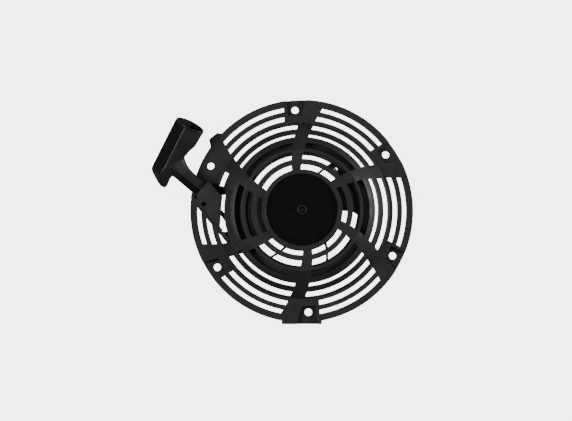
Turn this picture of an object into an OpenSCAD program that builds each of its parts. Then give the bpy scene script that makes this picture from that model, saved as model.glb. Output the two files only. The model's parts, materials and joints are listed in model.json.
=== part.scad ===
// Recoil starter for a small vertical-shaft engine.
// Millimetres. The origin is the centre of the bolt circle on the mounting face,
// and +Z points away from the engine, along the pulley's axis.

/* [Housing] */
// Outside diameter of the round flange
housing_d = 193; // [190:0.5:198]
// Diameter of the circle that the mounting holes lie on
bolt_circle_d = 176; // [175:0.5:178]
// Diameter of each mounting hole
bolt_hole_d = 6.4; // [5:0.1:7]
// Height of the outer flange plate's top
flange_top = 9; // [8.5:0.1:9.5]
// Height of the raised centre's flat top
dome_top = 33; // [32.5:0.1:34]
// Thickness of the moulded skin, measured along the axis
skin = 3.2; // [2.8:0.1:3.4]
// Height of the hood over the rope's way out
hood_top = 26.5; // [26.3:0.1:28]
// Angle of the first mounting hole
first_hole = 33.75; // [30:0.25:36]

/* [Rope] */
// Diameter of the starter rope
rope_d = 3.6; // [3:0.1:3.8]
// Height of the rope's straight run
rope_z = 18; // [17.9:0.05:18.2]
// Direction that the handle is pulled in
pull_angle = 138.5; // [136:0.5:140]

/* [Pulley] */
// Outside diameter of the pulley's flanges
pulley_d = 119; // [116:0.5:119.5]
// Radius of the centre post that the pulley turns on
post_r = 7; // [6.5:0.1:7.5]
// Radial running clearance between post and pulley
run_gap = 0.06; // [0.03:0.01:0.09]

/* [Pawls] */
// Distance of each pawl's pin from the axis
pawl_pin_orbit = 27; // [26:0.5:28]
// Angle of the first pawl's pin
pawl_angle = 8; // [4:1:12]
// Distance from a pawl's pin to its tip
pawl_reach = 18; // [16:0.5:19]
// How far a pawl swings out
pawl_swing = 25; // [18:1:26]

/* [Handle] */
// Outside radius of the grip's open end
grip_r = 12.6; // [12.2:0.1:13]
// Length of the long arm of the grip
grip_long_arm = 36.7; // [34:0.1:38]
// Angle between the pull direction and the long arm
grip_skew = 76.6; // [70:0.1:84]
// How far the long arm is turned up about the stem
grip_tilt = 12; // [6:1:12]
// Radius of the stem
stem_r = 6.5; // [6:0.1:6.8]

/* [Hidden] */
$fn = 96;
joined = 0.5;                       // how far shapes of one piece run into each other
through = 60;                       // long enough to cut through everything

sectors = 6;
sector_angle = 360 / sectors;
hood_sector = 2;                    // the sector that holds the rope's way out
hood_hole_angle = first_hole + hood_sector * sector_angle;
housing_r = housing_d / 2;
hole_orbit = bolt_circle_d / 2;

// Inner and outer radius of each row of air slots
slot_rows = [
    [34.4, 38.7], [43.4, 49.6], [52.4, 57.6], [62.9, 65.4],
    [70.4, 74.4], [78.9, 82.7], [87, 90.5]
];
wide_row = slot_rows[4];            // the row that the hood's sector keeps a part of
disc_r = 30.7;                      // recessed disc in the middle
disc_top = dome_top - 1.5;
disc_underside = dome_top - 4;
hub_ring_r = 34.4;
hub_ring_top = dome_top + 1;
shoulder_r = 52;                    // where the dome starts to fall
crease_r = 67;
crease_z = 20;
foot_r = 76;                        // where the dome meets the flange
corner_inset = 1.5;                 // the underside's corners lie this far inside the top's
skirt_t = 2.5;
flange_underside = flange_top - skin;
drum_inner_r = 60.3;                // wall round the pulley
drum_outer_r = 62.6;
drum_bottom = 11;
pocket_floor = 5;
pocket_underside = 2.4;
pocket_wall = 1.8;
// Corners of a screw pocket from its hole: outward along the radius, and round the axis
pocket_inner = [-5.3, -5.8, 6.8];
pocket_outer = [12, -11.9, 7.4];
boss_r = 7;
square_hole_at = [-84, 4.9];        // small square hole in the hood's roof
square_hole_w = 3.4;

// The rope's straight run, from the coil to the eyelet
rope_r = rope_d / 2;
groove_floor_r = 50.5;
outer_layer_r = groove_floor_r + 1.5 * rope_d;
body_gap = 0.3;                     // clearance between pieces that move apart
lead_r = outer_layer_r + body_gap;  // the run leaves the coil at this radius
mouth = [-85.9, 18.1];              // middle of the hood's mouth
pull = [cos(pull_angle), sin(pull_angle)];
across = [sin(pull_angle), -cos(pull_angle)];
eyelet_back = 4;                    // the eyelet's middle is this far inside the mouth
eyelet_r = 4.5;
eyelet = mouth - eyelet_back * pull;
lead_angle = atan2(eyelet[1], eyelet[0]) + 360 + acos(lead_r / norm(eyelet));
lead_start = lead_r * [cos(lead_angle), sin(lead_angle)];
lead_run = norm(eyelet - lead_start);
lead_heading = lead_angle - 90;

// The hood over the rope
hood_wall = 2.4;
hood_roof = 2.5;
mouth_half_w = 6;
strip_angle = 220;                  // outward direction of the hood's long outer wall
strip_inner = 63.2;                 // distance of its faces from the axis
strip_outer = 65.8;
strip_drop = 2.5;                   // the wall's top lies this far under the roof's
hood_corner = [-79.5, 24.5];
hood_side = [-68.4, 11.3];
hood_foot_angle = 192.5;            // where the roof's inner edge meets the outer wall
strip_foot = 20;                    // the wall ends this far before its outward direction
shelf_r = 66.6;                     // band of the dome over the rope's window
shelf_top = 25;
shelf_underside = 21;
channel_w = 8;
channel_z = [rope_z - 3, rope_z + 3];

// Pulley heights
lane_gap = 0.4;
lanes_h = 2 * rope_d + 2 * lane_gap;
groove_top = rope_z + rope_r + lane_gap;
groove_bottom = groove_top - lanes_h;
flange_t = 1.35;
pulley_r = pulley_d / 2;
web_top = rope_z + 1.5;
web_bottom = rope_z - 1;
hub_r = 13;
hub_top = 27;
hub_bottom = 11.5;
rim_inner_r = 48;
window_r = [35, 47.8];
rib_w = 2.3;
// Angles between which the web has no windows, over each pawl
solid_sectors = [[-1, 33], [154, 214]];
knot_land = [30.3, 57.4];           // angles between which the web is whole round the knot
knot_land_r = 41.1;                 // and the radius it is whole from
knot_angle = 50.4;
knot_orbit = 44.2;
knot_r = 3;
knot_patch_r = 4.6;

// Spring cup and mainspring
cup_outer_r = 29.6;
cup_wall = 1.2;
cup_bottom = 21;
spring_turns = 7;
spring_t = 0.7;
spring_inner_r = 14;
spring_outer_r = 27.2;
spring_z = [21.6, 27.2];
spring_step = 20;                   // degrees between the strip's points

// Pawls, retainer and the stack on the centre screw
pin_r = 2.5;
pin_head_r = 4;
pin_head_z = [10.6, 11.9];
pawl_z = [12.2, 15.6];
pawl_hub_r = 5;
pawl_tip_r = 2.2;
cam_post_r = 2;
cam_post_arm = 7;
cam_post_bottom = 7.6;
cam_gap = 0.45;
cam_steps = 8;
retainer_r = 31;
retainer_z = [8.2, 10];
screw_r = 3;
screw_head_r = 8;
screw_head_z = [2.6, 5.6];
screw_end = 22;
post_bottom = 11;
thrust_washer_t = 0.7;
brake_washer_z = [5.6, 6.4];
brake_wire_r = 0.7;
brake_spring_r = 8;
spring_wire_r = 0.45;
pawl_spring_r = 3.8;

// Handle
nose_r = 4.6;
nose_start = -1.5;                  // along the pull direction, from the mouth
nose_end = 7;
grip_cross = 35.6;                  // where the grip's axis crosses the stem's
grip_neck_r = 10;
grip_neck_shift = grip_r - grip_neck_r;
grip_bore_r = 10.4;
grip_bore_start = 17;
neck_bore_r = 7.6;
neck_bore_start = -5;
short_arm = 16.5;
short_tip_r = 5;
rope_bore_r = 2.3;
washer_seat = 25.5;
washer_t = 1.5;
washer_r = 5.4;
handle_knot_r = 4;

black_plastic = [0.14, 0.135, 0.14];
rope_black = [0.1, 0.1, 0.1];
rope_cream = [0.77, 0.75, 0.66];
steel = [0.62, 0.62, 0.64];

function polar(r, a) = [r * cos(a), r * sin(a)];

// The point at an angle on a line along the hood's long outer wall, at a distance from the axis
function on_strip(distance, a) = polar(distance / cos(strip_angle - a), a);

// Edges of a spoke: angles after the hole of the sector before it, falling as the radius grows
function spoke_trailing(r) = 57.5 - 0.239 * (r - 37.5);
function spoke_leading(r) = 70 - 0.306 * (r - 37.5);
spoke_radii = [32, 44, 56, 68, 80, 92, 104];

// A flat ring about the axis, square to it
module ring(inner, outer, low, high) {
    rotate_extrude() translate([inner, low]) square([outer - inner, high - low]);
}

// A prism of a plan outline between two heights
module prism(outline, low, high) {
    translate([0, 0, low]) linear_extrude(high - low) polygon(outline);
}

// Repeats its children once in every sector
module each_sector() {
    for (k = [0 : sectors - 1]) rotate(first_hole + k * sector_angle) children();
}

// Puts its children at the eyelet, with X along the pull direction
module at_mouth() {
    translate([mouth[0], mouth[1], rope_z]) rotate(pull_angle) children();
}

// ---- housing ----

module dome_skin() {
    rotate_extrude() polygon([
        [0, disc_underside], [0, disc_top], [disc_r, disc_top], [disc_r, hub_ring_top],
        [hub_ring_r, hub_ring_top], [hub_ring_r, dome_top], [shoulder_r, dome_top],
        [crease_r, crease_z], [foot_r, flange_top], [housing_r, flange_top], [housing_r, 0],
        [housing_r - skirt_t, 0], [housing_r - skirt_t, flange_underside],
        [foot_r - corner_inset, flange_underside], [crease_r - corner_inset, crease_z - skin],
        [shoulder_r - corner_inset, dome_top - skin], [hub_ring_r, dome_top - skin],
        [hub_ring_r, disc_underside]
    ]);
}

module spoke_plan() {
    prism(concat(
        [for (r = spoke_radii) polar(r, spoke_trailing(r))],
        [for (i = [len(spoke_radii) - 1 : -1 : 0]) polar(spoke_radii[i], spoke_leading(spoke_radii[i]))]
    ), -1, through);
}

// The pad that a spoke widens into round its mounting hole
module pad_plan() {
    pad_inner_r = 76.9;
    pad_outer_r = 104;
    prism([
        polar(pad_inner_r, 54), polar(pad_inner_r, 67.4),
        polar(pad_outer_r, 65.2), polar(pad_outer_r, 44)
    ], -1, through);
}

// The part of the hood's sector that stays solid, up to the hood's long outer wall
module hood_keep_plan() {
    ledge = 1.5;
    edge = strip_outer + ledge;
    far = 105;
    near = 40;
    first = 148;
    last = 214;
    difference() {
        prism([
            polar(near, first), polar(far, first), polar(far, strip_angle - acos(edge / far)),
            on_strip(edge, last), polar(near, last)
        ], -1, through);
        translate([0, 0, -2]) cylinder(r = drum_inner_r, h = through + 3);
    }
}

module air_slots() {
    difference() {
        for (row = slot_rows) ring(row[0], row[1], 0, through - 5);
        each_sector() spoke_plan();
        each_sector() pad_plan();
        hood_keep_plan();
    }
    hood_slot_start = -0.75;        // degrees past the hood sector's mounting hole
    hood_slot_angle = 10;
    rotate(hood_hole_angle + hood_slot_start) rotate_extrude(angle = hood_slot_angle)
        translate([wide_row[0], 0]) square([wide_row[1] - wide_row[0], through]);
}

module spoke_ribs() {
    rib_low = 2;
    half_w = 1.1;
    inner = drum_outer_r - joined;
    outer = housing_r - skirt_t + joined;
    function middle(r) = (spoke_trailing(r) + spoke_leading(r)) / 2;
    from = polar(inner, middle(inner));
    to = polar(outer, middle(outer));
    heading = atan2(to[1] - from[1], to[0] - from[0]);
    intersection() {
        rotate_extrude() polygon([
            [inner, rib_low], [outer, rib_low], [outer, flange_underside + joined],
            [foot_r - corner_inset, flange_underside + joined],
            [crease_r - corner_inset, crease_z - skin + joined],
            [inner, crease_z - skin + 2]
        ]);
        each_sector() translate(from) rotate(heading) translate([-1, -half_w, 0])
            cube([norm(to - from) + 2, 2 * half_w, through]);
    }
}

// Roof, side wall and long outer wall over the rope's way out
module hood_shell() {
    strip_tip = 70.5;
    roof_edge = strip_inner + joined;
    roof_tip_angle = 175;
    rotate(strip_angle) translate([strip_inner, -strip_tip, flange_underside])
        cube([strip_outer - strip_inner, strip_tip - strip_foot, hood_top - strip_drop - flange_underside]);
    prism([
        mouth + mouth_half_w * across, hood_corner, hood_side, on_strip(roof_edge, hood_foot_angle),
        on_strip(roof_edge, roof_tip_angle), mouth - mouth_half_w * across
    ], hood_top - hood_roof, hood_top);
    side = hood_side - hood_corner;
    translate([hood_corner[0], hood_corner[1], flange_underside])
        rotate(atan2(side[1], side[0])) translate([0, -hood_wall, 0])
        cube([norm(side), hood_wall, hood_top - flange_underside]);
    at_mouth() translate([-eyelet_back - hood_wall / 2, -7, flange_underside - rope_z])
        cube([hood_wall, 18, hood_top - hood_roof - flange_underside + joined]);
}

// Flat band over the window that the rope leaves the drum by
module window_shelf() {
    first = 166;
    last = 213;
    rotate(first) rotate_extrude(angle = last - first)
        translate([drum_inner_r, shelf_underside])
        square([shelf_r - drum_inner_r, shelf_top - shelf_underside]);
}

// Space under the hood and along the rope
module rope_channel() {
    wall_face = strip_inner + 0.2;
    past_gap = 0.6;                 // the channel runs this far into the gap beside the drum
    side_inset = 4.4;               // the side wall's thickness, measured along Y
    skip = 10;                      // the channel starts this far along the rope's run
    prism([
        hood_corner + [-1.2, -side_inset], hood_side + [past_gap, -side_inset],
        on_strip(wall_face, hood_foot_angle + 1), on_strip(wall_face, 176), eyelet - hood_wall / 2 * pull
    ], flange_top, hood_top - hood_roof);
    translate([lead_start[0], lead_start[1], 0]) rotate(lead_heading)
        translate([skip, -channel_w / 2, channel_z[0]])
        cube([lead_run - skip - hood_wall, channel_w, channel_z[1] - channel_z[0]]);
}

module hood_gap() {
    gap_low = -18.4;
    gap_high = 13.4;
    gap_left = hood_side[0] - 0.3;
    gap_w = 9.6;
    difference() {
        translate([gap_left, gap_low, -1]) cube([gap_w, gap_high - gap_low, through]);
        translate([0, 0, -2]) cylinder(r = shelf_r, h = through + 2);
    }
}

module hub_details() {
    ring(3.2, 3.9, disc_top - joined, disc_top + 0.5);
    translate([0, 0, disc_top - joined]) cylinder(r = 0.9, h = joined + 0.4);
    ring(disc_r - 0.6, hub_ring_r - 2, 25.5, disc_underside + joined);
    translate([0, 0, post_bottom]) cylinder(r = post_r, h = disc_underside + joined - post_bottom);
}

module rim_details() {
    lug_half_w = 17.4;
    lug_edge = housing_r + 1.5;
    translate([-lug_half_w, -lug_edge, pocket_underside])
        cube([2 * lug_half_w, 6, flange_top - pocket_underside]);
    ear_inner_r = 92;
    prism([polar(ear_inner_r, 134), polar(99.8, 137.3), polar(101.5, 142.4), polar(ear_inner_r, 147.6)],
        flange_underside, flange_top);
    each_sector() translate([hole_orbit, 0, 0]) cylinder(r = boss_r, h = flange_underside + joined);
    intersection() {
        screw_pockets(pocket_wall, pocket_underside, flange_underside + joined);
        cylinder(r = housing_r - skirt_t / 2, h = through);
    }
}

// Screw pockets between two heights, made larger all round by a margin
module screw_pockets(margin, low, high) {
    for (k = [0 : sectors - 1]) if (k != hood_sector)
        rotate(first_hole + k * sector_angle) translate([hole_orbit, 0, 0]) prism([
            [pocket_inner[0] - margin, pocket_inner[1] - margin], [pocket_outer[0], pocket_outer[1] - margin],
            [pocket_outer[0], pocket_outer[2] + margin], [pocket_inner[0] - margin, pocket_inner[2] + margin]
        ], low, high);
}

module housing() {
    color(black_plastic) difference() {
        union() {
            difference() {
                union() {
                    dome_skin();
                    window_shelf();
                    rim_details();
                }
                air_slots();
            }
            ring(drum_inner_r, drum_outer_r, drum_bottom, crease_z + 3);
            hood_shell();
            hub_details();
            spoke_ribs();
        }
        rope_channel();
        hood_gap();
        screw_pockets(0, pocket_floor, through);
        each_sector() translate([hole_orbit, 0, -1]) cylinder(r = bolt_hole_d / 2, h = through);
        translate([0, 0, post_bottom - 1]) cylinder(r = screw_r, h = screw_end + 0.5 - post_bottom + 1);
        at_mouth() translate([-eyelet_back - 5, 0, 0]) rotate([0, 90, 0]) cylinder(r = eyelet_r, h = 10);
        translate([square_hole_at[0], square_hole_at[1], 20]) rotate(45)
            translate([-square_hole_w / 2, -square_hole_w / 2, 0]) cube([square_hole_w, square_hole_w, 10]);
    }
}

// Flanged ferrule that the rope bends over
module rope_eyelet() {
    bore_r = 2.35;
    lip_r = 5.4;
    face = hood_wall / 2;
    color(steel) at_mouth() translate([-eyelet_back, 0, 0]) rotate([0, 90, 0])
        rotate_extrude() polygon([
            [bore_r, -2.4], [bore_r + 0.65, -3], [eyelet_r, -3], [eyelet_r, face], [lip_r, face],
            [lip_r, face + 0.5], [lip_r - 0.8, face + 0.9], [bore_r + 0.85, face + 0.9],
            [bore_r, face + 0.2]
        ]);
}

// ---- spring ----

module spring_cup() {
    color(steel) rotate_extrude() polygon([
        [14.5, disc_underside], [cup_outer_r, disc_underside], [cup_outer_r, cup_bottom],
        [cup_outer_r - cup_wall, cup_bottom], [cup_outer_r - cup_wall, disc_underside - cup_wall],
        [14.5, disc_underside - cup_wall]
    ]);
}

module mainspring() {
    last = spring_turns * 360;
    function spiral_r(a) = spring_inner_r + (spring_outer_r - spring_inner_r) * a / last;
    color([0.45, 0.47, 0.5]) translate([0, 0, spring_z[0]])
        linear_extrude(spring_z[1] - spring_z[0])
        polygon(concat(
            [for (a = [0 : spring_step : last]) polar(spiral_r(a), a)],
            [for (a = [last : -spring_step : 0]) polar(spiral_r(a) + spring_t, a)]
        ));
}

// ---- pulley ----

module pulley_ribs() {
    function rib_angle(r) = 66 - 0.68 * (r - 34.5);
    function half_angle(r) = asin(rib_w / 2 / r);
    radii = [33, 38, 43, 49];
    ribbed = [0, 2, 3, 4, 5];       // the second sector has no rib
    for (k = ribbed) rotate(k * sector_angle) prism(concat(
        [for (r = radii) polar(r, rib_angle(r) - half_angle(r))],
        [for (i = [len(radii) - 1 : -1 : 0]) polar(radii[i], rib_angle(radii[i]) + half_angle(radii[i]))]
    ), 0, through);
}

module pulley_windows() {
    far = 60;
    difference() {
        ring(window_r[0], window_r[1], web_bottom - 1, web_top + 1);
        pulley_ribs();
        for (solid = solid_sectors) prism([
            [0, 0], polar(far, solid[0]), polar(far * 1.2, (solid[0] + solid[1]) / 2), polar(far, solid[1])
        ], 0, through);
        rotate(knot_angle) translate([knot_orbit, 0, 0]) cylinder(r = knot_patch_r, h = through);
        intersection() {
            ring(knot_land_r, far, 0, through);
            prism([[0, 0], polar(far * 1.2, knot_land[0]), polar(far * 1.2, knot_land[1])], 0, through);
        }
    }
}

module at_pawl(side) {
    rotate(pawl_angle + side) translate([pawl_pin_orbit, 0, 0]) children();
}

module pulley() {
    color([0.17, 0.16, 0.165]) difference() {
        union() {
            rotate_extrude() polygon([
                [post_r + run_gap, hub_bottom], [hub_r, hub_bottom], [hub_r, web_bottom],
                [rim_inner_r, web_bottom], [rim_inner_r, groove_bottom - flange_t],
                [pulley_r, groove_bottom - flange_t], [pulley_r, groove_bottom],
                [groove_floor_r, groove_bottom], [groove_floor_r, groove_top],
                [pulley_r, groove_top], [pulley_r, groove_top + flange_t],
                [rim_inner_r, groove_top + flange_t], [rim_inner_r, web_top],
                [hub_r, web_top], [hub_r, hub_top], [post_r + run_gap, hub_top]
            ]);
            rotate(knot_angle) translate([knot_orbit, 0, web_bottom - 3])
                cylinder(r = knot_patch_r, h = web_top + 1 - web_bottom + 3);
        }
        pulley_windows();
        rotate(knot_angle) translate([knot_orbit, 0, web_bottom - 1]) cylinder(r = knot_r + 0.1, h = 10);
        rotate(knot_angle) translate([knot_orbit, 0, groove_bottom + 2.5]) rotate([0, 90, 0])
            cylinder(r = 1.7, h = 10);
        for (side = [0, 180]) at_pawl(side) translate([0, 0, 10]) cylinder(r = pin_r, h = 12);
    }
}

module pawl_pin(side) {
    color(steel) at_pawl(side) {
        translate([0, 0, pin_head_z[0]]) cylinder(r = pin_head_r, h = pin_head_z[1] - pin_head_z[0]);
        translate([0, 0, pin_head_z[1] - joined])
            cylinder(r = pin_r, h = web_top + 0.6 - pin_head_z[1] + joined);
    }
}

// Light wire spring round a pawl's pin, just under the pulley's web
module pawl_spring(side) {
    level = web_bottom - spring_wire_r - 0.15;
    leg = 8;
    color([0.7, 0.68, 0.6]) at_pawl(side) {
        translate([0, 0, level]) rotate_extrude() translate([pawl_spring_r, 0])
            circle(r = spring_wire_r, $fn = 24);
        translate([0, pawl_spring_r, level]) rotate([0, 90, 0])
            cylinder(r = spring_wire_r - 0.02, h = leg, $fn = 24);
        translate([0, -pawl_spring_r, level]) rotate([0, -90, 0])
            cylinder(r = spring_wire_r - 0.02, h = leg - 3, $fn = 24);
    }
}

// ---- rope ----

// Two turns lie on the groove's floor and the outer lower turn beside the run that leaves
module rope_coil() {
    lane = groove_bottom + lane_gap;
    color(rope_black) rotate_extrude() polygon([
        [groove_floor_r, lane], [groove_floor_r + 2 * rope_d, lane],
        [groove_floor_r + 2 * rope_d, lane + rope_d - body_gap],
        [groove_floor_r + rope_d, lane + rope_d - body_gap],
        [groove_floor_r + rope_d, lane + 2 * rope_d], [groove_floor_r, lane + 2 * rope_d]
    ]);
}

module rope_pulley_knot() {
    half_h = 2.2;
    color(rope_cream) rotate(knot_angle) translate([knot_orbit, 0, web_bottom - 1 + half_h])
        intersection() {
            sphere(r = knot_r, $fn = 48);
            translate([-5, -5, -half_h]) cube([10, 10, 2 * half_h]);
        }
}

module rope_lead() {
    color(rope_black) translate([lead_start[0], lead_start[1], rope_z]) rotate(lead_heading)
        rotate([0, 90, 0]) cylinder(r = rope_r, h = lead_run - 0.3, $fn = 32);
}

module rope_pull() {
    color(rope_black) at_mouth() translate([-eyelet_back, 0, 0]) rotate([0, 90, 0])
        cylinder(r = rope_r, h = washer_seat + washer_t + eyelet_back, $fn = 32);
}

module rope_handle_knot() {
    color(rope_cream) at_mouth() translate([washer_seat + washer_t + handle_knot_r - 0.6, 0, 0])
        intersection() {
            sphere(r = handle_knot_r, $fn = 48);
            translate([0.6 - handle_knot_r, -5, -5]) cube([10, 10, 10]);
        }
}

// ---- pawls, retainer and brake ----

function cam_point(swing) = polar(pawl_pin_orbit, pawl_angle)
    + cam_post_arm * [cos(-90 + swing), sin(-90 + swing)];

module pawl(side) {
    color([0.5, 0.48, 0.44]) rotate(side) difference() {
        union() {
            hull() {
                translate(polar(pawl_pin_orbit, pawl_angle)) translate([0, 0, pawl_z[0]])
                    cylinder(r = pawl_hub_r, h = pawl_z[1] - pawl_z[0], $fn = 32);
                translate(polar(pawl_pin_orbit, pawl_angle) + [0, -pawl_reach]) translate([0, 0, pawl_z[0]])
                    cylinder(r = pawl_tip_r, h = pawl_z[1] - pawl_z[0], $fn = 32);
            }
            translate([cam_point(0)[0], cam_point(0)[1], cam_post_bottom])
                cylinder(r = cam_post_r, h = pawl_z[0] - cam_post_bottom + joined);
        }
        translate(polar(pawl_pin_orbit, pawl_angle)) translate([0, 0, pawl_z[0] - 1])
            cylinder(r = pin_r + run_gap, h = 10);
    }
}

// Path of a pawl's post as the retainer turns back under it
function cam_path(i) = let (a = pawl_swing * i / cam_steps, p = cam_point(a))
    [p[0] * cos(a) + p[1] * sin(a), p[1] * cos(a) - p[0] * sin(a)];

module cam_slot() {
    half = cam_post_r + cam_gap;
    along = cam_path(cam_steps) - cam_path(0);
    side = [along[1], -along[0]] / norm(along);
    prism(concat(
        [for (i = [0 : cam_steps]) cam_path(i) + half * side],
        [for (i = [cam_steps : -1 : 0]) cam_path(i) - half * side]
    ), 0, 20);
    for (end = [cam_path(0), cam_path(cam_steps)])
        translate([end[0], end[1], 0]) cylinder(r = half, h = 20);
}

module pawl_retainer() {
    color(steel) difference() {
        translate([0, 0, retainer_z[0]]) cylinder(r = retainer_r, h = retainer_z[1] - retainer_z[0]);
        for (side = [0, 180]) rotate(side) cam_slot();
        for (side = [100, 280]) rotate(side) translate([19, 0, 0]) cylinder(r = 5.5, h = 20);
        cylinder(r = screw_r + 0.6, h = 20);
    }
}

module thrust_washer() {
    color(steel) ring(screw_r + 0.1, 11.5, post_bottom - thrust_washer_t, post_bottom);
}

module brake_washer() {
    color(steel) ring(screw_r + 0.1, 10.5, brake_washer_z[0], brake_washer_z[1]);
}

module brake_spring() {
    level = (brake_washer_z[1] + retainer_z[0]) / 2;
    color([0.7, 0.68, 0.6]) rotate_extrude() translate([brake_spring_r, level])
        circle(r = brake_wire_r, $fn = 32);
}

module centre_screw() {
    recess_r = 3.4;
    chamfer = 1.2;
    color(steel) difference() {
        rotate_extrude() polygon([
            [0, screw_head_z[0]], [screw_head_r - chamfer, screw_head_z[0]],
            [screw_head_r, screw_head_z[0] + chamfer], [screw_head_r, screw_head_z[1]],
            [screw_r, screw_head_z[1]], [screw_r, screw_end], [0, screw_end]
        ]);
        translate([0, 0, screw_head_z[0] - 1]) cylinder(r = recess_r, h = 3, $fn = 6);
    }
}

// ---- handle ----

// Puts its children at the grip's crossing, with X along the long arm and Y away from the stem's nose
module at_grip() {
    at_mouth() rotate([-grip_tilt, 0, 0]) translate([grip_cross, 0, 0]) rotate(-grip_skew) children();
}

module arm_piece(start, length, r, shift) {
    translate([start, -shift, 0]) rotate([0, 90, 0]) cylinder(r = r, h = length, $fn = 32);
}

module handle_grip() {
    nose_side = grip_long_arm - 16;
    color([0.12, 0.115, 0.12]) difference() {
        union() {
            at_grip() hull() {
                arm_piece(nose_side, grip_long_arm - nose_side, grip_r, 0);
                arm_piece(0, 8, grip_neck_r, -grip_neck_shift);
            }
            at_grip() hull() {
                arm_piece(0, 8, grip_neck_r, -grip_neck_shift);
                translate([-12, grip_neck_shift + 1, 0]) sphere(r = 8.6, $fn = 24);
                translate([-short_arm, -1.5, 0]) sphere(r = short_tip_r, $fn = 24);
            }
            at_mouth() translate([nose_start, 0, 0]) rotate([0, 90, 0])
                cylinder(r1 = nose_r, r2 = stem_r, h = nose_end - nose_start);
            at_mouth() translate([nose_end - 0.01, 0, 0]) rotate([0, 90, 0])
                cylinder(r = stem_r, h = grip_cross - nose_end - 3);
        }
        at_grip() translate([grip_bore_start, 0, 0]) rotate([0, 90, 0]) cylinder(r = grip_bore_r, h = 30);
        at_grip() translate([neck_bore_start, grip_neck_shift, 0]) rotate([0, 90, 0])
            cylinder(r = neck_bore_r, h = 30);
        at_mouth() translate([nose_start - 1, 0, 0]) rotate([0, 90, 0]) cylinder(r = rope_bore_r, h = 36);
        at_mouth() translate([washer_seat, 0, 0]) rotate([0, 90, 0]) cylinder(r = washer_r + 0.2, h = 12);
    }
}

module handle_washer() {
    color(steel) at_mouth() translate([washer_seat, 0, 0]) rotate([0, 90, 0])
        rotate_extrude() translate([rope_bore_r, 0]) square([washer_r - rope_bore_r, washer_t]);
}

housing();
rope_eyelet();
spring_cup();
mainspring();
thrust_washer();
pulley();
pawl_pin(0);  // pawl_pin_a
pawl_pin(180);  // pawl_pin_b
pawl_spring(0);  // pawl_spring_a
pawl_spring(180);  // pawl_spring_b
rope_coil();
rope_pulley_knot();
rope_lead();
pawl(0);  // pawl_a
pawl(180);  // pawl_b
pawl_retainer();
brake_spring();
brake_washer();
centre_screw();
handle_grip();
handle_washer();
rope_handle_knot();
rope_pull();
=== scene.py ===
import json
import math

import bmesh
import bpy
from mathutils import Matrix, Vector


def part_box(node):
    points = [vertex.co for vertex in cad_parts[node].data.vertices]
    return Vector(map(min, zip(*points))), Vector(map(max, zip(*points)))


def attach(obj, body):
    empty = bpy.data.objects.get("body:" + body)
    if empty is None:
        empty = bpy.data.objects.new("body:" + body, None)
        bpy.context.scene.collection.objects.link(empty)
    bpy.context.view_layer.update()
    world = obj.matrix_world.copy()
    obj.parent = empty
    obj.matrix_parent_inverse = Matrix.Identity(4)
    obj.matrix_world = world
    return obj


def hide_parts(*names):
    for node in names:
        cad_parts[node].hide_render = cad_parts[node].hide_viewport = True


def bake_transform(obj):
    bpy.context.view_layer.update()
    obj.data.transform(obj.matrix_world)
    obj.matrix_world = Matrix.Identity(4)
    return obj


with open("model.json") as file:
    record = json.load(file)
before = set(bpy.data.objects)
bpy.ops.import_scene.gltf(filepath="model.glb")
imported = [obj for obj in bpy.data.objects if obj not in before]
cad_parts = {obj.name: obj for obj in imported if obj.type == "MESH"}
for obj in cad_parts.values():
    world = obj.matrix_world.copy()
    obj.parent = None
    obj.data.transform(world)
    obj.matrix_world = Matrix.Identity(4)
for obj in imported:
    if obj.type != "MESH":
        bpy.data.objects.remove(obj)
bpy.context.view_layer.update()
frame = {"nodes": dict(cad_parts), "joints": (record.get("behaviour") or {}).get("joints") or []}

NODES = frame["nodes"]
TAU = 2 * math.pi
MM = 0.001


# ---- places read from the frame ----

def joint(name):
    """The frame's joint of that name."""
    return next(j for j in frame["joints"] if j["name"] == name)


def middle(node):
    """The middle of a CAD node's box."""
    low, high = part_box(node)
    return (low + high) / 2


PULL = Vector(joint("handle_pull")["axis"]).normalized()
UP = Vector((0, 0, 1))
ACROSS = PULL.cross(UP).normalized()
EYELET = middle("rope_eyelet")
ROPE_Z = EYELET.z
ROPE_R = (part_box("rope_lead")[1].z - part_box("rope_lead")[0].z) / 2
COIL_LOW, COIL_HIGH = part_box("rope_coil")
COIL_OUTER_R = COIL_HIGH.x
MOUTH = EYELET + 4 * MM * PULL  # where the handle's stem starts

# The housing's centre disc and the small ring that stands on it
DISC_R = 30.6 * MM
DISC_LOW_Z, DISC_HIGH_Z = 28.5 * MM, 32.4 * MM
DISC_RING_Z = 31.56 * MM

# The handle's frames: the stem's has X along the pull, and the grip's has X along the long arm. Both angles and
# the length are those of the CAD handle.
HANDLE_TILT = math.radians(12)
GRIP_SKEW = math.radians(76.6)
STEM_LENGTH = 35.6 * MM
STEM_PLACE = (Matrix.Translation(MOUTH) @ Matrix((PULL, -ACROSS, UP)).transposed().to_4x4()
              @ Matrix.Rotation(-HANDLE_TILT, 4, "X"))
GRIP_PLACE = STEM_PLACE @ Matrix.Translation((STEM_LENGTH, 0, 0)) @ Matrix.Rotation(-GRIP_SKEW, 4, "Z")
GRIP_ARM = GRIP_PLACE.to_3x3() @ Vector((1, 0, 0))
GRIP_BACK = GRIP_PLACE.to_3x3() @ Vector((0, 1, 0))
GRIP_BACK = Vector((GRIP_BACK.x, GRIP_BACK.y, 0)).normalized()


# ---- camera, floor and lights ----

def aim(thing, target, up):
    """Turns a camera or lamp to look at a point, with up towards the picture's top."""
    forward = (Vector(target) - thing.location).normalized()
    right = forward.cross(Vector(up)).normalized()
    top = right.cross(forward)
    turn = Matrix((right, top, -forward)).transposed()
    thing.rotation_euler = turn.to_euler()


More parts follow.
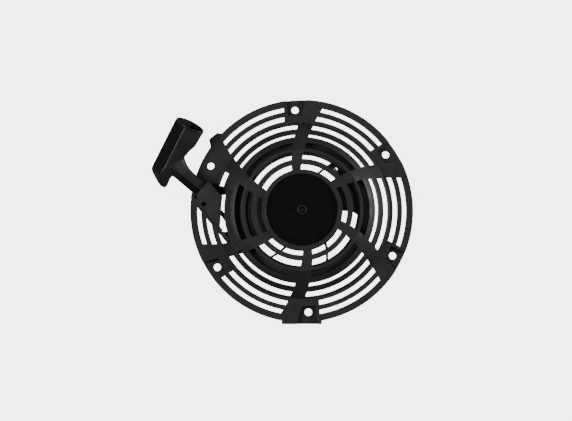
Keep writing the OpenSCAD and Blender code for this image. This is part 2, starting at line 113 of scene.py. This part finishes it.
def add_camera():
    """A long lens that looks almost straight down."""
    tilt = math.radians(2.25)
    distance = 1.372
    target = Vector((-0.0136, 0.0001, 0.012))
    data = bpy.data.cameras.new("camera")
    data.lens = 100
    data.sensor_width = 36
    data.clip_start = 0.01
    camera = bpy.data.objects.new("camera", data)
    bpy.context.scene.collection.objects.link(camera)
    camera.location = target + distance * Vector((0, -math.sin(tilt), math.cos(tilt)))
    aim(camera, target, (0, 1, 0))
    bpy.context.scene.camera = camera


def add_area(name, place, size, power):
    """A square soft lamp that faces the origin."""
    data = bpy.data.lights.new(name, "AREA")
    data.shape = "SQUARE"
    data.size = size
    data.energy = power
    lamp = bpy.data.objects.new(name, data)
    bpy.context.scene.collection.objects.link(lamp)
    lamp.location = place
    aim(lamp, (0, 0, 0), (0.3, 1, 0.2))


def set_strength(tree, socket, for_lens, for_part):
    """Gives a glow one strength where the lens sees it and another where it lights the part."""
    path = tree.nodes.new("ShaderNodeLightPath")
    strength = tree.nodes.new("ShaderNodeMapRange")
    strength.inputs["To Min"].default_value = for_part
    strength.inputs["To Max"].default_value = for_lens
    tree.links.new(path.outputs["Is Camera Ray"], strength.inputs["Value"])
    tree.links.new(strength.outputs["Result"], socket)


def add_studio():
    """Plain white floor and soft light from both sides. The room that the lens sees is pale, and the one that
    the plastic reflects is dim, as between black flags."""
    world = bpy.data.worlds.new("studio")
    bpy.context.scene.world = world
    world.use_nodes = True
    background = world.node_tree.nodes["Background"]
    background.inputs["Color"].default_value = (1, 0.97, 0.94, 1)
    set_strength(world.node_tree, background.inputs["Strength"], for_lens=5.0, for_part=0.09)
    mesh = bpy.data.meshes.new("floor")
    half = 3.0
    drop = -0.3 * MM  # just under the part, so that the two don't share a plane
    mesh.from_pydata([(-half, -half, drop), (half, -half, drop), (half, half, drop), (-half, half, drop)],
                     [], [(0, 1, 2, 3)])
    floor = bpy.data.objects.new("floor", mesh)
    bpy.context.scene.collection.objects.link(floor)
    material = bpy.data.materials.new("floor_white")
    material.use_nodes = True
    shader = material.node_tree.nodes["Principled BSDF"]
    shader.inputs["Base Color"].default_value = (0.3, 0.3, 0.3, 1)
    shader.inputs["Roughness"].default_value = 0.9
    shader.inputs["Specular IOR Level"].default_value = 0.1
    shader.inputs["Emission Color"].default_value = (1, 1, 1, 1)
    set_strength(material.node_tree, shader.inputs["Emission Strength"], for_lens=4.8, for_part=0.12)
    mesh.materials.append(material)
    add_area("right", (0.81, 0.15, 0.48), 0.4, 6.0)
    add_area("left", (-0.7, 0.08, 0.7), 0.4, 5.3)


# ---- materials ----

class Nodes:
    """A material's node tree, with short calls for what the materials here share."""

    def __init__(self, name):
        self.material = bpy.data.materials.new(name)
        self.material.use_nodes = True
        self.tree = self.material.node_tree
        self.shader = self.tree.nodes["Principled BSDF"]
        self.coords = self.add("ShaderNodeTexCoord").outputs["Object"]

    def add(self, kind, **values):
        """Adds a node and sets its own properties."""
        node = self.tree.nodes.new(kind)
        for key, value in values.items():
            setattr(node, key, value)
        return node

    def link(self, source, target):
        self.tree.links.new(source, target)

    def put(self, **sockets):
        """Sets the shader's own sockets; underscores stand for spaces."""
        for key, value in sockets.items():
            self.shader.inputs[key.replace("_", " ")].default_value = value

    def math(self, operation, a, b=None):
        """A sum of one or two sockets or numbers."""
        node = self.add("ShaderNodeMath", operation=operation)
        for socket, value in zip(node.inputs, (a, b)):
            if value is None:
                continue
            if isinstance(value, (int, float)):
                socket.default_value = value
            else:
                self.link(value, socket)
        return node.outputs[0]

    def dot(self, source, other):
        """Dot product of a vector socket with a socket or a constant vector."""
        node = self.add("ShaderNodeVectorMath", operation="DOT_PRODUCT")
        self.link(source, node.inputs[0])
        if isinstance(other, Vector):
            node.inputs[1].default_value = other
        else:
            self.link(other, node.inputs[1])
        return node.outputs["Value"]

    def noise(self, scale, detail, rough, stretch=None):
        """Noise in the object's own metres, from 0 to 1."""
        source = self.coords
        if stretch:
            mapping = self.add("ShaderNodeMapping")
            mapping.inputs["Scale"].default_value = stretch
            self.link(source, mapping.inputs["Vector"])
            source = mapping.outputs["Vector"]
        node = self.add("ShaderNodeTexNoise")
        node.inputs["Scale"].default_value = scale
        node.inputs["Detail"].default_value = detail
        node.inputs["Roughness"].default_value = rough
        self.link(source, node.inputs["Vector"])
        return node.outputs["Fac"]

    def ramp(self, value, low, high, start=0.0, end=1.0):
        """Maps start..end of a value to low..high."""
        node = self.add("ShaderNodeMapRange")
        for key, number in zip(("From Min", "From Max", "To Min", "To Max"), (start, end, low, high)):
            node.inputs[key].default_value = number
        self.link(value, node.inputs["Value"])
        return node.outputs["Result"]

    def blend(self, factor, a, b):
        """Mixes two colours, or a socket and a colour, by a factor."""
        node = self.add("ShaderNodeMix", data_type="RGBA")
        self.link(factor, node.inputs["Factor"])
        for socket, value in ((node.inputs["A"], a), (node.inputs["B"], b)):
            if isinstance(value, tuple):
                socket.default_value = (*value, 1)
            else:
                self.link(value, socket)
        return node.outputs["Result"]

    def bump(self, height, distance):
        """A normal from a height, which stands for the distance in metres."""
        node = self.add("ShaderNodeBump")
        node.inputs["Distance"].default_value = distance
        node.inputs["Strength"].default_value = 1.0
        self.link(height, node.inputs["Height"])
        return node.outputs["Normal"]

    def colour(self, value):
        self.link(value, self.shader.inputs["Base Color"])

    def roughness(self, value):
        self.link(value, self.shader.inputs["Roughness"])

    def normal(self, value):
        self.link(value, self.shader.inputs["Normal"])


def housing_areas(n, tone, shade, roughness, height):
    """Makes the housing's centre disc black and smooth, all but its small raised ring, and the flange away from
    the hood a little cooler in tone than the middle."""
    place = n.add("ShaderNodeSeparateXYZ")
    n.link(n.coords, place.inputs["Vector"])
    across = n.math("SQRT", n.math("ADD", n.math("POWER", place.outputs["X"], 2.0),
                                   n.math("POWER", place.outputs["Y"], 2.0)))
    cool = n.blend(tone, (0.0152, 0.0139, 0.0161), (0.0262, 0.0242, 0.0274))
    hoodward = n.dot(n.coords, PULL)
    flange = n.math("MULTIPLY", n.ramp(across, 0, 0.8, 60 * MM, 85 * MM), n.ramp(hoodward, 1, 0, 20 * MM, 60 * MM))
    shade = n.blend(flange, shade, cool)
    z = place.outputs["Z"]
    inside = n.math("MULTIPLY", n.math("LESS_THAN", across, DISC_R), n.math("GREATER_THAN", z, DISC_LOW_Z))
    inside = n.math("MULTIPLY", inside, n.math("LESS_THAN", z, DISC_HIGH_Z))
    raised = n.math("GREATER_THAN", z, DISC_RING_Z)
    inside = n.math("MULTIPLY", inside, n.math("SUBTRACT", 1.0, raised))
    polished = n.ramp(n.noise(180, 3, 0.5), 0.2, 0.3, 0.3, 0.7)
    keep = n.math("SUBTRACT", 1.0, inside)
    roughness = n.math("ADD", n.math("MULTIPLY", roughness, keep), n.math("MULTIPLY", polished, inside))
    shade = n.blend(inside, shade, (0.0032, 0.0027, 0.0029))
    height = n.math("MULTIPLY", height, n.ramp(inside, 1.0, 0.22))
    return shade, roughness, height


def paint_facet_shade(n, dark, shade, roughness, height, directions):
    """Darkens the flats that face in the directions as painted shade, and polishes them a little. Gives the
    specular level too, which is lower there so that they stay dark."""
    facing = 0.0
    for direction in directions:
        facing = n.math("MAXIMUM", facing, n.dot(n.add("ShaderNodeTexCoord").outputs["Normal"], direction))
    polished = n.ramp(facing, 0, 1, 0.36, 0.5)
    # Painted shade: flats that face the given directions get a darker colour than the rest of the plastic.
    shade = n.blend(polished, shade, tuple(0.55 * c for c in dark))
    roughness = n.math("SUBTRACT", roughness, n.math("MULTIPLY", polished, 0.1))
    height = n.math("MULTIPLY", height, n.ramp(polished, 1.0, 0.3))
    return shade, roughness, height, n.ramp(polished, 0.5, 0.2)


def paint_bore_shade(n, dark, shade, roughness, point, axis):
    """Darkens what faces a bore's axis from beyond a point on it, as painted shade inside the hollow."""
    least_r = 3.5 * MM
    away = n.add("ShaderNodeVectorMath", operation="SUBTRACT")
    n.link(n.coords, away.inputs[0])
    away.inputs[1].default_value = point
    along = n.dot(away.outputs["Vector"], axis)
    run = n.add("ShaderNodeVectorMath", operation="SCALE")
    run.inputs[0].default_value = axis
    n.link(along, run.inputs["Scale"])
    out = n.add("ShaderNodeVectorMath", operation="SUBTRACT")
    n.link(away.outputs["Vector"], out.inputs[0])
    n.link(run.outputs["Vector"], out.inputs[1])
    facing = n.dot(out.outputs["Vector"], n.add("ShaderNodeTexCoord").outputs["Normal"])
    within = n.math("MULTIPLY", n.math("GREATER_THAN", along, 0.0), n.math("LESS_THAN", facing, -least_r))
    # Painted shade: what faces the axis inside the hollow gets 0.12 of the dark tone.
    shade = n.blend(within, shade, tuple(0.12 * c for c in dark))
    return shade, n.math("MAXIMUM", roughness, n.math("MULTIPLY", within, 0.8))


def moulded_plastic(name, dark, light, rough, grain=0.03 * MM, housing=False, shaded_facings=None, bore=None):
    """Glass-filled moulded plastic: cloudy tone, flow streaks and fine grain. housing adds the areas that only
    the housing has; the facing directions give the flats that are darkened as painted shade and polished a
    little, and bore a point and the axis of a hollow whose inside is darkened as painted shade."""
    n = Nodes(name)
    cloud = n.noise(55, 5, 0.6)
    streak = n.noise(150, 3, 0.5, stretch=(1, 1, 0.15))
    tone = n.math("ADD", n.math("MULTIPLY", cloud, 0.65), n.math("MULTIPLY", streak, 0.35))
    tone = n.ramp(tone, 0, 1, 0.36, 0.66)
    shade = n.blend(tone, dark, light)
    speck = n.noise(2600, 2, 0.7)
    shade = n.blend(n.ramp(speck, 0, 0.35, 0.62, 0.8), shade, tuple(2.2 * c for c in light))
    roughness = n.ramp(n.noise(240, 4, 0.6), rough - 0.07, rough + 0.09, 0.3, 0.7)
    fine = n.noise(3800, 2, 0.6)
    wave = n.noise(90, 2, 0.5)
    height = n.math("ADD", fine, n.math("MULTIPLY", wave, 2.0))
    n.put(IOR=1.5, Specular_IOR_Level=0.5)
    if housing:
        shade, roughness, height = housing_areas(n, tone, shade, roughness, height)
    if shaded_facings:
        shade, roughness, height, level = paint_facet_shade(n, dark, shade, roughness, height, shaded_facings)
        n.link(level, n.shader.inputs["Specular IOR Level"])
    if bore:
        shade, roughness = paint_bore_shade(n, dark, shade, roughness, *bore)
    n.colour(shade)
    n.roughness(roughness)
    n.normal(n.bump(height, grain))
    return n.material


def metal(name, colour, rough, brushed=(1, 1, 1), tint=None):
    """Bare or plated metal with fine lines, which brushed draws out or packs along the axes, and patches that are
    duller or in the tint."""
    n = Nodes(name)
    lines = n.noise(900, 4, 0.65, stretch=brushed)
    patch = n.noise(120, 5, 0.6)
    dull = tuple(0.712 * c for c in colour)
    shade = n.blend(n.ramp(patch, 0, 1, 0.35, 0.7), colour, tint or dull)
    shade = n.blend(n.ramp(lines, 0, 0.35, 0.5, 0.75), shade, tuple(c * 0.62 for c in colour))
    n.colour(shade)
    n.roughness(n.ramp(n.math("ADD", n.math("MULTIPLY", lines, 0.6), n.math("MULTIPLY", patch, 0.4)),
                       rough - 0.1, rough + 0.14, 0.3, 0.7))
    n.normal(n.bump(lines, 0.02 * MM))
    n.put(Metallic=1.0)
    return n.material


def sintered(name):
    """Pressed and sintered steel: grey, pitted, faintly oiled."""
    n = Nodes(name)
    pits = n.add("ShaderNodeTexVoronoi")
    pits.inputs["Scale"].default_value = 1900
    n.link(n.coords, pits.inputs["Vector"])
    cloud = n.noise(160, 5, 0.6)
    n.colour(n.blend(n.ramp(cloud, 0, 1, 0.35, 0.68), (0.16, 0.15, 0.135), (0.27, 0.255, 0.23)))
    n.roughness(n.ramp(cloud, 0.34, 0.56, 0.3, 0.7))
    n.normal(n.bump(n.ramp(pits.outputs["Distance"], 0, 1, 0.0, 0.45), 0.04 * MM))
    n.put(Metallic=1.0)
    return n.material


def braid(name, dark, light, strands, pitch, straight=None):
    """Braided sheath: two crossing families of strands. Its pattern runs on the piece's UV, or for a straight
    stretch on its own metres about an axis (point, direction), so that it stays whole when rope is paid out."""
    n = Nodes(name)
    place = n.add("ShaderNodeSeparateXYZ")
    if straight:
        point, along = straight
        turn = along.to_track_quat("X", "Z").to_euler()
        mapping = n.add("ShaderNodeMapping", vector_type="TEXTURE")
        mapping.inputs["Location"].default_value = point
        mapping.inputs["Rotation"].default_value = turn
        n.link(n.coords, mapping.inputs["Vector"])
        n.link(mapping.outputs["Vector"], place.inputs["Vector"])
        around = n.math("ARCTAN2", place.outputs["Z"], place.outputs["Y"])
        run = n.math("MULTIPLY", place.outputs["X"], TAU / pitch)
    else:
        n.link(n.add("ShaderNodeTexCoord").outputs["UV"], place.inputs["Vector"])
        around = n.math("MULTIPLY", place.outputs["X"], TAU)
        run = n.math("MULTIPLY", place.outputs["Y"], TAU / pitch)
    turns = n.math("MULTIPLY", around, float(strands))
    left = n.math("SINE", n.math("ADD", turns, run))
    right = n.math("SINE", n.math("SUBTRACT", turns, run))
    weave = n.math("MULTIPLY", n.math("SINE", turns), n.math("SINE", run))
    over = n.math("GREATER_THAN", weave, 0.0)
    under = n.math("SUBTRACT", 1.0, over)
    left_rise = n.math("ADD", n.math("MULTIPLY", over, 0.4), 0.6)
    right_rise = n.math("ADD", n.math("MULTIPLY", under, 0.4), 0.6)
    height = n.math("ADD", n.math("MULTIPLY", n.math("ABSOLUTE", left), left_rise),
                    n.math("MULTIPLY", n.math("ABSOLUTE", right), right_rise))
    fibre = n.noise(5200, 2, 0.7)
    # Painted light and shade: the crests of the strands are lighter and the grooves between them darker.
    shade = n.blend(n.ramp(height, 0, 1, 0.5, 1.5), dark, light)
    shade = n.blend(n.ramp(fibre, 0, 0.4, 0.5, 0.75), shade, tuple(1.7 * c for c in light))
    n.colour(shade)
    n.roughness(n.ramp(fibre, 0.6, 0.85, 0.3, 0.7))
    n.normal(n.bump(n.math("ADD", height, n.math("MULTIPLY", fibre, 0.3)), 0.22 * MM))
    n.put(Sheen_Weight=0.15)
    return n.material


def cream_knot_look(name):
    """Cream with darker blotches and a fibre grain, for the two knots."""
    n = Nodes(name)
    fibre = n.noise(1400, 4, 0.7, stretch=(1, 1, 0.3))
    blotch = n.noise(420, 4, 0.6)
    shade = n.blend(n.ramp(fibre, 0, 1, 0.35, 0.7), (0.42, 0.38, 0.27), (0.66, 0.62, 0.5))
    shade = n.blend(n.ramp(blotch, 0, 0.6, 0.6, 0.8), shade, (0.12, 0.1, 0.08))
    n.colour(shade)
    n.roughness(n.ramp(blotch, 0.4, 0.75, 0.35, 0.65))
    n.normal(n.bump(fibre, 0.15 * MM))
    return n.material


# ---- mesh helpers ----

def add_mesh(name, bm, material, smooth=True):
    """Makes an object from a bmesh, with normals outward."""
    bmesh.ops.recalc_face_normals(bm, faces=bm.faces)
    mesh = bpy.data.meshes.new(name)
    bm.to_mesh(mesh)
    bm.free()
    mesh.materials.append(material)
    for face in mesh.polygons:
        face.use_smooth = smooth
    thing = bpy.data.objects.new(name, mesh)
    bpy.context.scene.collection.objects.link(thing)
    return thing


def sweep(bm, points, radius, sides):
    """Sweeps a round section along points, with UVs in turns and metres."""
    uv_layer = bm.loops.layers.uv.verify()
    rings, lengths, run = [], [], 0.0
    across = None
    for i, point in enumerate(points):
        ahead = points[min(i + 1, len(points) - 1)] - points[max(i - 1, 0)]
        ahead.normalize()
        if across is None:
            across = ahead.cross(UP) if abs(ahead.dot(UP)) < 0.9 else ahead.cross(Vector((1, 0, 0)))
        across = (across - ahead * across.dot(ahead)).normalized()
        rise = across.cross(ahead).normalized()
        if i:
            run += (point - points[i - 1]).length
        rings.append([bm.verts.new(point + radius * (math.cos(TAU * k / sides) * across
                                                     + math.sin(TAU * k / sides) * rise)) for k in range(sides)])
        lengths.append(run)
    for i in range(len(rings) - 1):
        for k in range(sides):
            corners = ((i, k), (i, k + 1), (i + 1, k + 1), (i + 1, k))
            face = bm.faces.new([rings[a][b % sides] for a, b in corners])
            for loop, (a, b) in zip(face.loops, corners):
                loop[uv_layer].uv = (b / sides, lengths[a])
    bm.faces.new(rings[0][::-1])
    bm.faces.new(rings[-1])


def round_edges(thing, width, segments=2, angle=32):
    """Rounds the edges that are sharper than an angle, with modifiers, which leave the mesh as it is."""
    weld = thing.modifiers.new("weld", "WELD")
    weld.merge_threshold = 0.002 * MM
    bevel = thing.modifiers.new("round", "BEVEL")
    bevel.width = width
    bevel.segments = segments
    bevel.limit_method = "ANGLE"
    bevel.angle_limit = math.radians(angle)
    bevel.use_clamp_overlap = False
    bevel.harden_normals = True
    bevel.miter_outer = "MITER_ARC"


# ---- the housing and the other CAD nodes that show as they are ----

def finish_nodes(materials):
    """Gives each CAD node that shows its material, and edges rounded by a width in mm."""
    finishes = {
        "housing": ("housing", 0.3), "pulley": ("pulley", 0.25),
        "rope_eyelet": ("plated", 0.1), "spring_cup": ("plated", 0.2),
        "thrust_washer": ("plated", 0.1), "brake_washer": ("plated", 0.1),
        "pawl_pin_a": ("plated", 0.15), "pawl_pin_b": ("plated", 0.15),
        "pawl_a": ("sintered", 0.25), "pawl_b": ("sintered", 0.25),
        "pawl_retainer": ("plated", 0.2), "centre_screw": ("screw", 0.15),
        "handle_washer": ("plated", 0.1),
    }
    for node, (look, width) in finishes.items():
        thing = NODES[node]
        thing.data.materials.clear()
        thing.data.materials.append(materials[look])
        round_edges(thing, width * MM)


# ---- rope ----

def rope_lead(material):
    """The straight run from the coil's outer layer to the eyelet, with the arc where it lifts off."""
    reach = math.hypot(EYELET.x, EYELET.y)
    radius = COIL_OUTER_R - ROPE_R + 0.3 * MM
    angle = math.atan2(EYELET.y, EYELET.x) + math.acos(radius / reach)
    arc = math.radians(38)
    arc_steps, run_steps = 13, 30
    points = []
    for i in range(arc_steps + 1):
        a = angle + arc * (1 - i / arc_steps)
        points.append(Vector((radius * math.cos(a), radius * math.sin(a), ROPE_Z)))
    start = points[-1].copy()
    for i in range(1, run_steps + 1):
        points.append(start.lerp(EYELET, i / run_steps))
    bm = bmesh.new()
    sweep(bm, points, ROPE_R, 20)
    piece = add_mesh("starter_rope_run", bm, material)
    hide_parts("rope_lead")
    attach(piece, "housing")


def rope_coil(material):
    """Turns on the pulley: two lanes on the groove's floor, then one turn on top of the lower lane. The rope is
    drawn a little thin, so that its turns don't cut into each other."""
    lane_low = COIL_LOW.z + ROPE_R
    inner = COIL_OUTER_R - 3 * ROPE_R
    outer = inner + 2 * ROPE_R
    steps = 96  # for each turn
    climb_start, climb_turns = 0.96, 0.08
    points = []
    for i in range(2 * steps + 1):
        t = i / steps
        climb = min(max((t - climb_start) / climb_turns, 0), 1)
        z = lane_low + 2 * ROPE_R * climb
        points.append(Vector((inner * math.cos(TAU * t), inner * math.sin(TAU * t), z)))
    bm = bmesh.new()
    sweep(bm, points, ROPE_R * 0.985, 14)
    over = [Vector((outer * math.cos(TAU * i / steps), outer * math.sin(TAU * i / steps), lane_low))
            for i in range(int(steps * 0.97))]
    sweep(bm, over, ROPE_R * 0.96, 14)
    piece = add_mesh("starter_rope_turns", bm, material)
    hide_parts("rope_coil")
    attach(piece, "pulley")


def rope_pull(material):
    """The stretch through the eyelet and the handle's stem. It is paid out from inside the eyelet."""
    length = (middle("rope_handle_knot") - EYELET).dot(PULL) - 2 * MM
    start = -0.5 * MM
    rings = 90
    points = [EYELET + PULL * (start + (length - start) * i / rings) for i in range(rings + 1)]
    bm = bmesh.new()
    sweep(bm, points, ROPE_R * 0.99, 20)
    piece = add_mesh("starter_rope_pulled", bm, material)
    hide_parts("rope_pull")
    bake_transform(piece)


def knot(name, centre, axis, size, material, node, body):
    """An overhand knot pulled tight: a trefoil of rope squashed along its axis, with its ends cut short."""
    steps = 110
    drawn = 0.97  # of the closed trefoil
    flat, deep = 0.2 * size, 0.28 * size
    turn = axis.to_track_quat("Z", "Y").to_matrix()
    points = []
    for i in range(steps + 1):
        t = TAU * i / steps * drawn
        x = math.sin(t) + 2 * math.sin(2 * t)
        y = math.cos(t) - 2 * math.cos(2 * t)
        z = -math.sin(3 * t)
        points.append(centre + turn @ Vector((x * flat, y * flat, z * deep)))
    bm = bmesh.new()
    sweep(bm, points, size * 0.36, 14)
    piece = add_mesh(name, bm, material)
    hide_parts(node)
    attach(piece, body)


# ---- springs ----

def mainspring(material):
    """Flat spiral strip between the hub and the cup."""
    low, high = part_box("mainspring")
    outer_r = high.x - 0.5 * MM
    inner_r = 14.3 * MM
    turns = 9
    steps = turns * 60
    half_t = 0.32 * MM  # of the strip's thickness
    bm = bmesh.new()
    rows = []
    for i in range(steps + 1):
        t = i / steps
        a = TAU * turns * t
        r = inner_r + (outer_r - inner_r) * t ** 0.92
        out = Vector((math.cos(a), math.sin(a), 0))
        rows.append([bm.verts.new(out * (r + side) + UP * z)
                     for side, z in ((-half_t, low.z), (half_t, low.z), (half_t, high.z), (-half_t, high.z))])
    for a, b in zip(rows, rows[1:]):
        for k in range(4):
            bm.faces.new((a[k], a[(k + 1) % 4], b[(k + 1) % 4], b[k]))
    bm.faces.new(rows[0][::-1])
    bm.faces.new(rows[-1])
    piece = add_mesh("mainspring_strip", bm, material, smooth=False)
    round_edges(piece, 0.12 * MM, segments=1, angle=50)
    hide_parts("mainspring")
    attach(piece, "housing")


def pawl_spring(side, material):
    """Torsion spring of two close turns round a pawl's pin, with one straight leg."""
    node = "pawl_spring_" + side
    pin = joint("pawl_" + side + "_swing")["pos_m"]
    low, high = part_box(node)
    centre = Vector((pin[0], pin[1], (low.z + high.z) / 2))
    wire = 0.24 * MM
    leg = 0.45 * (high - low).length
    turns, turn_steps = 2, 40
    steps = turns * turn_steps
    coil_r = 3.8 * MM
    heading = math.atan2(pin[1], pin[0])
    points = [centre + Vector((math.cos(heading), math.sin(heading), 0)) * leg
              + coil_r * Vector((-math.sin(heading), math.cos(heading), 0)) - UP * wire]
    for i in range(steps + 1):
        a = heading + math.pi / 2 + TAU * i / turn_steps
        points.append(centre + Vector((coil_r * math.cos(a), coil_r * math.sin(a), wire * (2 * i / steps - 1))))
    bm = bmesh.new()
    sweep(bm, points, wire, 8)
    piece = add_mesh("pawl_torsion_spring_" + side, bm, material)
    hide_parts(node)
    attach(piece, "pulley")


def brake_spring(material):
    """Small coil of almost two turns that presses the retainer up."""
    low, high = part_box("brake_spring")
    wire = 0.42 * MM
    radius = high.x - 0.7 * MM
    turns, steps = 1.9, 100
    points = []
    for i in range(steps + 1):
        t = i / steps
        a = TAU * turns * t
        z = low.z + wire + (high.z - low.z - 2 * wire) * t
        points.append(Vector((radius * math.cos(a), radius * math.sin(a), z)))
    bm = bmesh.new()
    sweep(bm, points, wire, 10)
    piece = add_mesh("brake_coil_spring", bm, material)
    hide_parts("brake_spring")
    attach(piece, "housing")


# ---- handle ----

def section(bm, place, back, front, half_z, crease, roundness, lean=0.0):
    """One ring of the grip: six flats with softened corners, which roundness from 0 to 1 turns into an ellipse.
    The crease is the ridge between the smooth back flat and the broad flat towards the stem, and lean slants the
    ring so that its top lies further back."""
    corners = [(crease, half_z), (back, 0.36 * half_z), (back, -0.36 * half_z), (crease, -half_z),
               (front, -0.45 * half_z), (front, 0.45 * half_z)]
    corners = [Vector((*corner, 0)) for corner in corners]
    mid, half = (back + front) / 2, (front - back) / 2
    softened = 0.7 * MM  # of each flat, at each corner
    ring = []
    for i, here in enumerate(corners):
        before = corners[i - 1] - here
        after = corners[(i + 1) % len(corners)] - here
        before = before * min(0.4, softened / before.length)
        soft = min(0.4, softened / after.length)
        points = [here + before * (1 - k / 4) ** 2 + after * soft * (k / 4) ** 2 for k in range(5)]
        points += [here + after * (soft + (1 - 2 * soft) * k / 5) for k in range(1, 5)]
        for flat in points:
            angle = math.atan2(flat.y / half_z, (flat.x - mid) / half)
            oval = Vector((mid + half * math.cos(angle), half_z * math.sin(angle), 0))
            point = flat.lerp(oval, roundness)
            ring.append(bm.verts.new(place @ Vector((-lean * point.y, -point.x, point.y))))
    return ring


def bridge(bm, rings):
    """Joins rings of equal size into a tube."""
    for a, b in zip(rings, rings[1:]):
        for k in range(len(a)):
            bm.faces.new((a[k], a[(k + 1) % len(a)], b[(k + 1) % len(a)], b[k]))


def grip(material):
    """The hollow T grip: a long open arm, a short hooked arm and the stem, grown together."""
    end = 36.7
    # Along the arm: place, back, front, half height, crease, roundness; all in mm but the last
    stations = [
        (-22.6, 1.4, 4.6, 1.8, 2.8, 1), (-21.9, -0.6, 5.5, 3.8, 2.2, 0.9), (-20, -3.8, 6.0, 5.8, 0.6, 0.5),
        (-17.5, -7.2, 5.8, 7.6, -0.4, 0.2), (-14.8, -10.6, 5.3, 9.2, -1.4, 0), (-12.5, -12.5, 5.5, 10.2, -2.2, 0),
        (-9, -12.7, 6.2, 10.9, -2.0, 0), (-4, -12.7, 7.4, 11.2, -1.0, 0), (3, -12.7, 7.6, 11.4, -1.0, 0),
        (9, -12.7, 7.8, 11.6, -1.0, 0), (15.4, -12.7, 9.4, 11.9, -1.0, 0), (20.6, -12.7, 11.6, 12.1, -1.0, 0),
        (26, -12.7, 12.2, 12.3, -1.0, 0), (31, -12.7, 12.4, 12.4, -1.0, 0),
        (end - 1.6, -12.8, 12.7, 12.5, -0.8, 0), (end - 0.7, -12.9, 12.9, 12.7, -0.8, 0.85),
        (end, -12.8, 12.8, 12.6, -0.8, 1),
    ]
    # The hollow, from its mouth inwards: place and wall
    hollow = [(end, 1.3), (end - 0.7, 1.5), (end - 3, 2.0), (27, 2.1), (20.6, 2.3), (15.4, 2.5), (9, 2.9),
              (4, 4.6)]
    # The open end is cut a little aslant, and the rings start to lean here
    end_lean, lean_start = 0.11, 15
    bm = bmesh.new()

    def arm_ring(x, back, front, half_z, crease, roundness):
        """A ring of the arm, from sizes in mm."""
        lean = end_lean * min(max((x - lean_start) / (end - lean_start), 0), 1)
        return section(bm, GRIP_PLACE @ Matrix.Translation((x * MM, 0, 0)),
                       back * MM, front * MM, half_z * MM, crease * MM, roundness, lean)

    rings = [arm_ring(*station) for station in stations]
    for x, wall in hollow:
        near = [s for s in stations if s[0] <= x][-1]
        far = next(s for s in stations if s[0] >= x)
        t = (x - near[0]) / (far[0] - near[0]) if far[0] > near[0] else 0
        back, front, half_z, crease, roundness = (near[i] + (far[i] - near[i]) * t for i in range(1, 6))
        rings.append(arm_ring(x, back + wall, front - wall, half_z - wall, crease, roundness))
    bridge(bm, rings)
    bm.faces.new(rings[0][::-1])
    bm.faces.new(rings[-1])
    # Along the stem: place, near and far side, half height, crease; all in mm
    stem = [
        (-1.4, -4.4, 5.0, 4.6, 0), (-1.0, -4.7, 5.3, 4.9, 0), (2, -5.4, 6.6, 5.6, 0), (7, -5.5, 7.6, 6.0, -0.2),
        (16, -5.5, 7.7, 6.6, -0.6), (20, -5.9, 7.7, 7.0, -0.9), (24, -7.0, 7.8, 7.6, -1.2),
        (28, -9.0, 8.2, 8.4, -1.6), (31, -11.2, 9.0, 9.0, -1.8), (34, -13.0, 9.8, 9.2, -2),
        (38, -12.0, 10, 9.2, -2),
    ]
    tube = [section(bm, STEM_PLACE @ Matrix.Translation((s * MM, 0, 0)), -far * MM, -near * MM, half_z * MM,
                    crease * MM, roundness=1 if s < 0 else 0)
            for s, near, far, half_z, crease in stem]
    bridge(bm, tube)
    bm.faces.new(tube[0][::-1])
    bm.faces.new(tube[-1])
    piece = add_mesh("pull_handle", bm, material)
    remesh = piece.modifiers.new("grow_together", "REMESH")
    remesh.mode = "VOXEL"
    remesh.voxel_size = 0.45 * MM
    remesh.use_smooth_shade = True
    relax = piece.modifiers.new("relax", "SMOOTH")
    relax.factor = 0.5
    relax.iterations = 3
    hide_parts("handle_grip")
    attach(piece, "handle")


# ---- build ----

add_camera()
add_studio()
sheath = dict(dark=(0.006, 0.006, 0.006), light=(0.028, 0.027, 0.026), strands=8, pitch=3.1 * MM)
looks = {
    "housing": moulded_plastic("black_moulded_plastic", (0.0166, 0.0148, 0.0141), (0.0286, 0.0251, 0.0233), 0.51,
                               housing=True),
    "pulley": moulded_plastic("pulley_nylon", (0.022, 0.019, 0.0175), (0.036, 0.031, 0.028), 0.5),
    # The handle's back flats and the stem's lower-left flats are darkened as painted shade.
    "handle": moulded_plastic("handle_plastic", (0.0161, 0.015, 0.017), (0.029, 0.0268, 0.0302), 0.36,
                              grain=0.022 * MM, shaded_facings=(GRIP_BACK, -ACROSS),
                              # The inside of the grip's hollow is darkened as painted shade.
                              bore=(GRIP_PLACE @ Vector((14 * MM, 0, 0)), GRIP_ARM)),
    "plated": metal("zinc_plate", (0.62, 0.62, 0.6), 0.32, tint=(0.5, 0.47, 0.4)),
    "screw": metal("screw_steel", (0.5, 0.5, 0.5), 0.34),
    "spring_steel": metal("blued_spring_steel", (0.2, 0.21, 0.24), 0.36, brushed=(1, 1, 12)),
    "wire": metal("spring_wire", (0.55, 0.52, 0.46), 0.3),
    "sintered": sintered("sintered_steel"),
    "sheath": braid("braided_sheath", **sheath),
    "sheath_straight": braid("braided_sheath_paid_out", **sheath, straight=(EYELET, PULL)),
    "knot_cream": cream_knot_look("cream_rope_knot"),
}
finish_nodes(looks)
rope_lead(looks["sheath"])
rope_coil(looks["sheath"])
rope_pull(looks["sheath_straight"])
knot("pulley_rope_knot", middle("rope_pulley_knot"), UP, 2.9 * MM, looks["knot_cream"], "rope_pulley_knot", "pulley")
knot("handle_rope_knot", middle("rope_handle_knot"), PULL, 3.9 * MM, looks["knot_cream"], "rope_handle_knot", "handle")
mainspring(looks["spring_steel"])
for letter in "ab":
    pawl_spring(letter, looks["wire"])
brake_spring(looks["wire"])
grip(looks["handle"])
